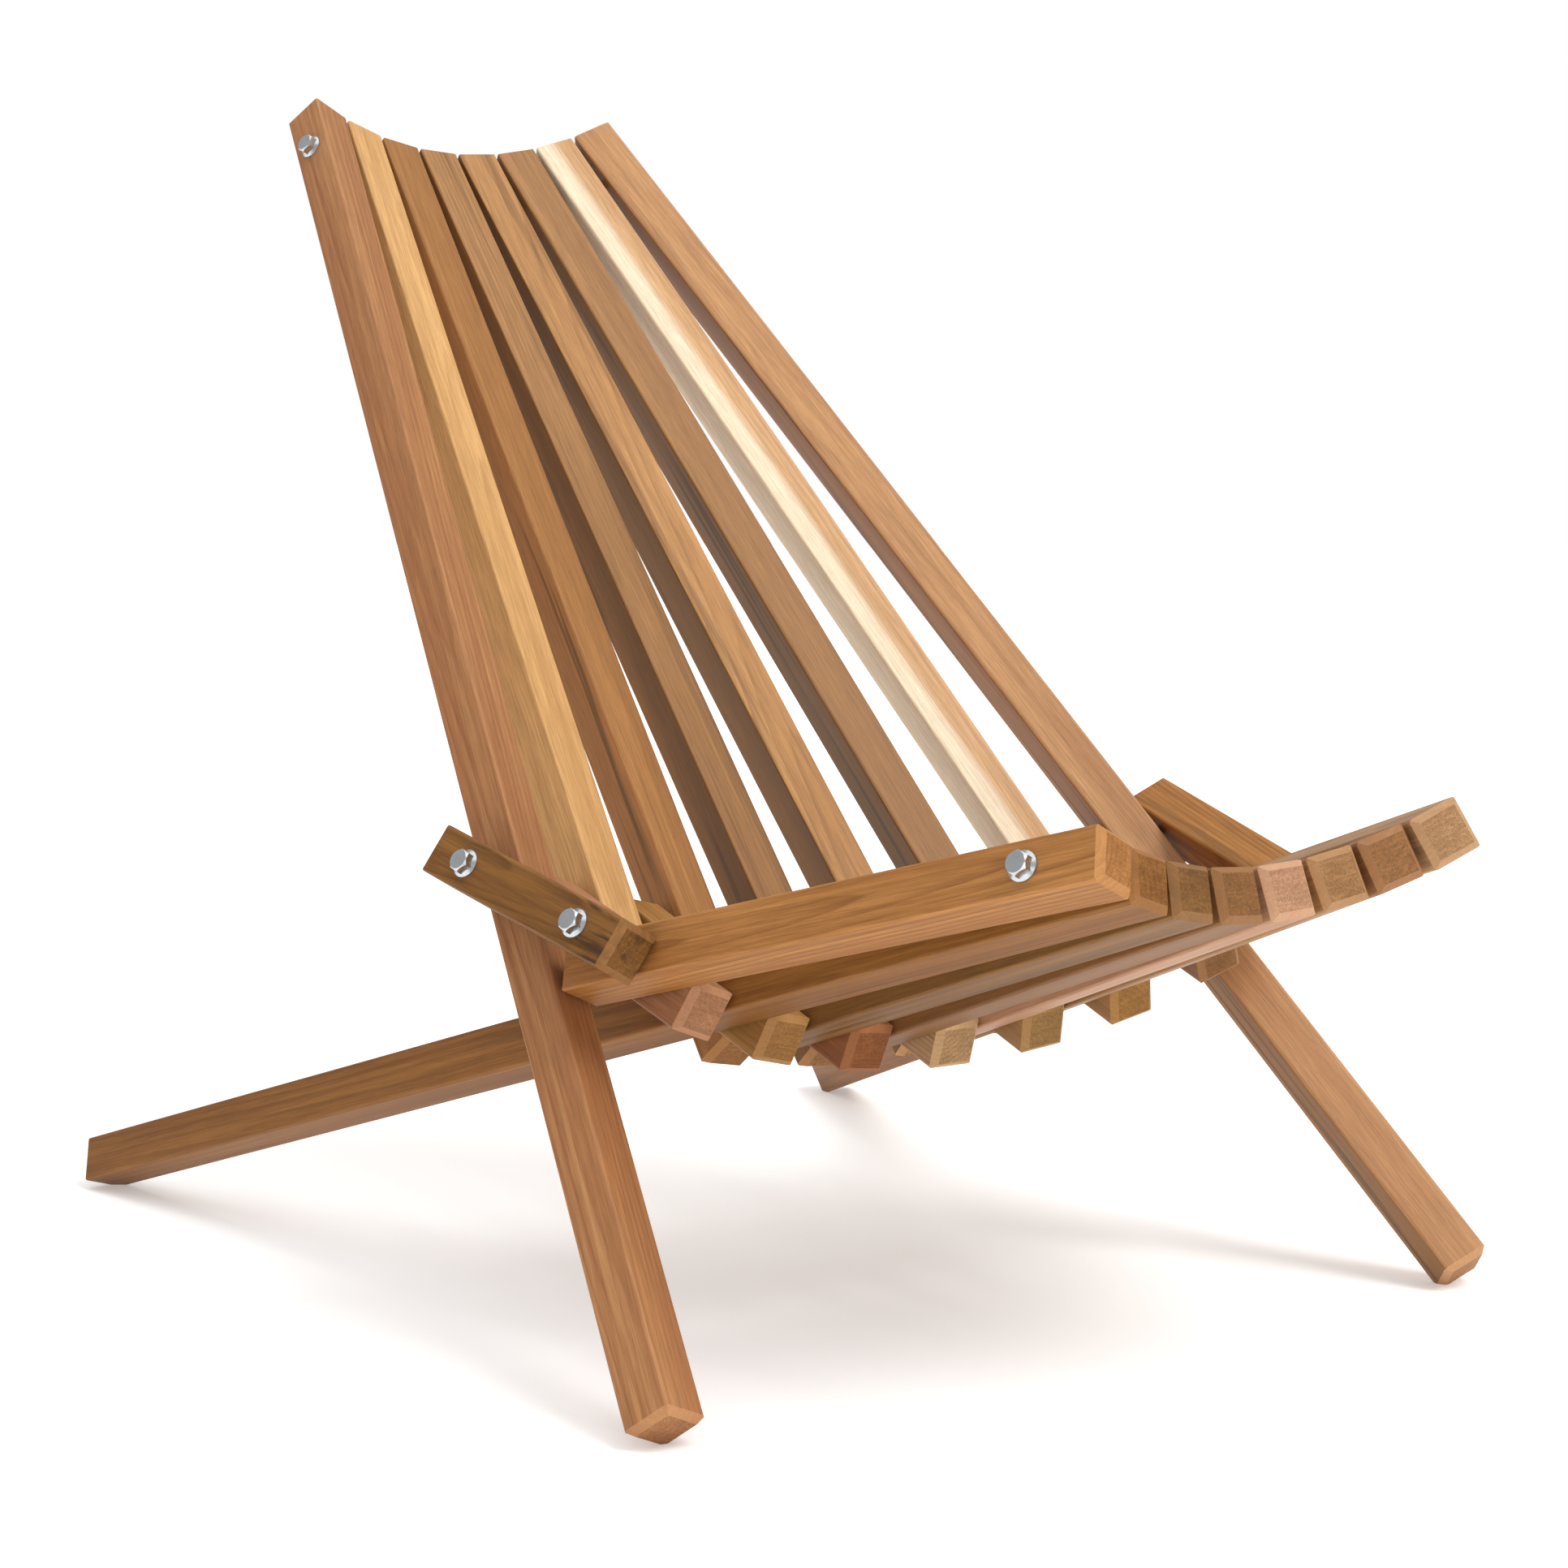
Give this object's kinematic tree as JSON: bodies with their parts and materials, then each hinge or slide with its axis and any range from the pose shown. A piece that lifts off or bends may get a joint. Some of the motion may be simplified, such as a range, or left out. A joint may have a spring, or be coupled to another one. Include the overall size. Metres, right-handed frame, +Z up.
{
  "type": "folding stick deck chair",
  "caption": "Low folding deck chair of square hardwood sticks threaded on bent steel rods, with a curved fan back and a curved fan seat that folds up against it.",
  "frame": {"origin": "on the floor, under the middle of the chair", "axes": "+Z up, the sitter faces -Y, X across with the sitter's right hand at -X"},
  "size_m": [0.6796, 0.9739, 0.7974],
  "materials": {
    "wood": "satin oiled hardwood, mixed brown tones, planed with softened edges",
    "steel": "bright zinc plated"
  },
  "bodies": {
    "middle": {"link_stick_5": "wood", "top_rod": "steel", "back_pivot_rod": "steel", "seat_pivot_rod": "steel"},
    "back_1": {"back_stick_1": "wood", "top_nut": "steel"},
    "back_2": {"back_stick_2": "wood"},
    "back_3": {"back_stick_3": "wood"},
    "back_4": {"back_stick_4": "wood"},
    "back_5": {"back_stick_5": "wood"},
    "back_6": {"back_stick_6": "wood"},
    "back_7": {"back_stick_7": "wood"},
    "back_8": {"back_stick_8": "wood", "top_head": "steel"},
    "link_1": {"link_stick_1": "wood", "back_pivot_nut": "steel", "seat_pivot_nut": "steel"},
    "link_2": {"link_stick_2": "wood"},
    "link_3": {"link_stick_3": "wood"},
    "link_4": {"link_stick_4": "wood"},
    "link_6": {"link_stick_6": "wood"},
    "link_7": {"link_stick_7": "wood"},
    "link_8": {"link_stick_8": "wood"},
    "link_9": {"link_stick_9": "wood", "back_pivot_head": "steel", "seat_pivot_head": "steel"},
    "seat_1": {"seat_stick_1": "wood", "front_nut": "steel"},
    "seat_2": {"seat_stick_2": "wood"},
    "seat_3": {"seat_stick_3": "wood"},
    "seat_4": {"seat_stick_4": "wood", "front_rod": "steel"},
    "seat_5": {"seat_stick_5": "wood"},
    "seat_6": {"seat_stick_6": "wood"},
    "seat_7": {"seat_stick_7": "wood"},
    "seat_8": {"seat_stick_8": "wood", "front_head": "steel"}
  },
  "joints": [
    {"name": "back_1_roll", "type": "hinge", "parent": "middle", "child": "back_1", "pos_m": [-0.23952, -0.07427, 0.2609], "axis": [0.1581, 0.7084, 0.6879], "range_deg": [-20.6, 0]},
    {"name": "back_2_roll", "type": "hinge", "parent": "middle", "child": "back_2", "pos_m": [-0.17445, -0.06144, 0.23515], "axis": [0.1152, 0.6999, 0.7049], "range_deg": [-15, 0]},
    {"name": "back_3_roll", "type": "hinge", "parent": "middle", "child": "back_3", "pos_m": [-0.10603, -0.05274, 0.21771], "axis": [0.07, 0.6941, 0.7164], "range_deg": [-9.4, 0]},
    {"name": "back_4_roll", "type": "hinge", "parent": "middle", "child": "back_4", "pos_m": [-0.03557, -0.04835, 0.2089], "axis": [0.0235, 0.6912, 0.7222], "range_deg": [-3.8, 0]},
    {"name": "back_5_roll", "type": "hinge", "parent": "middle", "child": "back_5", "pos_m": [0.03557, -0.04835, 0.2089], "axis": [-0.0235, 0.6912, 0.7222], "range_deg": [0, 3.8]},
    {"name": "back_6_roll", "type": "hinge", "parent": "middle", "child": "back_6", "pos_m": [0.10603, -0.05274, 0.21771], "axis": [-0.07, 0.6941, 0.7164], "range_deg": [0, 9.4]},
    {"name": "back_7_roll", "type": "hinge", "parent": "middle", "child": "back_7", "pos_m": [0.17445, -0.06144, 0.23515], "axis": [-0.1152, 0.6999, 0.7049], "range_deg": [0, 15]},
    {"name": "back_8_roll", "type": "hinge", "parent": "middle", "child": "back_8", "pos_m": [0.23952, -0.07427, 0.2609], "axis": [-0.1581, 0.7084, 0.6879], "range_deg": [0, 20.6]},
    {"name": "link_1_roll", "type": "hinge", "parent": "middle", "child": "link_1", "pos_m": [-0.2704, -0.08217, 0.27673], "axis": [0.1785, 0.7136, 0.6775], "range_deg": [-23.4, 0]},
    {"name": "link_2_roll", "type": "hinge", "parent": "middle", "child": "link_2", "pos_m": [-0.20748, -0.06735, 0.24701], "axis": [0.137, 0.7038, 0.6971], "range_deg": [-17.8, 0]},
    {"name": "link_3_roll", "type": "hinge", "parent": "middle", "child": "link_3", "pos_m": [-0.14058, -0.05656, 0.22537], "axis": [0.0928, 0.6967, 0.7114], "range_deg": [-12.2, 0]},
    {"name": "link_4_roll", "type": "hinge", "parent": "middle", "child": "link_4", "pos_m": [-0.07097, -0.05, 0.21221], "axis": [0.0469, 0.6923, 0.7201], "range_deg": [-6.6, 0]},
    {"name": "link_6_roll", "type": "hinge", "parent": "middle", "child": "link_6", "pos_m": [0.07097, -0.05, 0.21221], "axis": [-0.0469, 0.6923, 0.7201], "range_deg": [0, 6.6]},
    {"name": "link_7_roll", "type": "hinge", "parent": "middle", "child": "link_7", "pos_m": [0.14058, -0.05656, 0.22537], "axis": [-0.0928, 0.6967, 0.7114], "range_deg": [0, 12.2]},
    {"name": "link_8_roll", "type": "hinge", "parent": "middle", "child": "link_8", "pos_m": [0.20748, -0.06735, 0.24701], "axis": [-0.137, 0.7038, 0.6971], "range_deg": [0, 17.8]},
    {"name": "link_9_roll", "type": "hinge", "parent": "middle", "child": "link_9", "pos_m": [0.2704, -0.08217, 0.27673], "axis": [-0.1785, 0.7136, 0.6775], "range_deg": [0, 23.4]},
    {"name": "seat_1_fold", "type": "hinge", "parent": "back_1", "child": "seat_1", "pos_m": [-0.2283, -0.17878, 0.23255], "axis": [-0.8844, -0.2083, 0.4177], "range_deg": [0, 112]},
    {"name": "fold", "type": "hinge", "parent": "back_2", "child": "seat_2", "pos_m": [-0.16802, -0.16481, 0.20349], "axis": [-0.9404, -0.1517, 0.3043], "range_deg": [0, 112], "deforming": ["top_rod", "back_pivot_rod", "seat_pivot_rod", "front_rod"]},
    {"name": "seat_3_fold", "type": "hinge", "parent": "back_3", "child": "seat_3", "pos_m": [-0.10245, -0.15574, 0.18529], "axis": [-0.9784, -0.0922, 0.1849], "range_deg": [0, 112]},
    {"name": "seat_4_fold", "type": "hinge", "parent": "back_4", "child": "seat_4", "pos_m": [-0.03439, -0.15139, 0.17657], "axis": [-0.9976, -0.0309, 0.062], "range_deg": [0, 112]},
    {"name": "seat_5_fold", "type": "hinge", "parent": "back_5", "child": "seat_5", "pos_m": [0.03439, -0.15139, 0.17657], "axis": [-0.9976, 0.0309, -0.062], "range_deg": [0, 112]},
    {"name": "seat_6_fold", "type": "hinge", "parent": "back_6", "child": "seat_6", "pos_m": [0.10245, -0.15574, 0.18529], "axis": [-0.9784, 0.0922, -0.1849], "range_deg": [0, 112]},
    {"name": "seat_7_fold", "type": "hinge", "parent": "back_7", "child": "seat_7", "pos_m": [0.16802, -0.16481, 0.20349], "axis": [-0.9404, 0.1517, -0.3043], "range_deg": [0, 112]},
    {"name": "seat_8_fold", "type": "hinge", "parent": "back_8", "child": "seat_8", "pos_m": [0.2283, -0.17878, 0.23255], "axis": [-0.8844, 0.2083, -0.4177], "range_deg": [0, 112]}
  ],
  "couplings": [
    {"joint": "back_1_roll", "follows": "fold", "ratio": -0.175},
    {"joint": "back_2_roll", "follows": "fold", "ratio": -0.125},
    {"joint": "back_3_roll", "follows": "fold", "ratio": -0.075},
    {"joint": "back_4_roll", "follows": "fold", "ratio": -0.025},
    {"joint": "back_5_roll", "follows": "fold", "ratio": 0.025},
    {"joint": "back_6_roll", "follows": "fold", "ratio": 0.075},
    {"joint": "back_7_roll", "follows": "fold", "ratio": 0.125},
    {"joint": "back_8_roll", "follows": "fold", "ratio": 0.175},
    {"joint": "link_1_roll", "follows": "fold", "ratio": -0.2},
    {"joint": "link_2_roll", "follows": "fold", "ratio": -0.15},
    {"joint": "link_3_roll", "follows": "fold", "ratio": -0.1},
    {"joint": "link_4_roll", "follows": "fold", "ratio": -0.05},
    {"joint": "link_6_roll", "follows": "fold", "ratio": 0.05},
    {"joint": "link_7_roll", "follows": "fold", "ratio": 0.1},
    {"joint": "link_8_roll", "follows": "fold", "ratio": 0.15},
    {"joint": "link_9_roll", "follows": "fold", "ratio": 0.2},
    {"joint": "seat_1_fold", "follows": "fold", "ratio": 1},
    {"joint": "seat_3_fold", "follows": "fold", "ratio": 1},
    {"joint": "seat_4_fold", "follows": "fold", "ratio": 1},
    {"joint": "seat_5_fold", "follows": "fold", "ratio": 1},
    {"joint": "seat_6_fold", "follows": "fold", "ratio": 1},
    {"joint": "seat_7_fold", "follows": "fold", "ratio": 1},
    {"joint": "seat_8_fold", "follows": "fold", "ratio": 1}
  ]
}
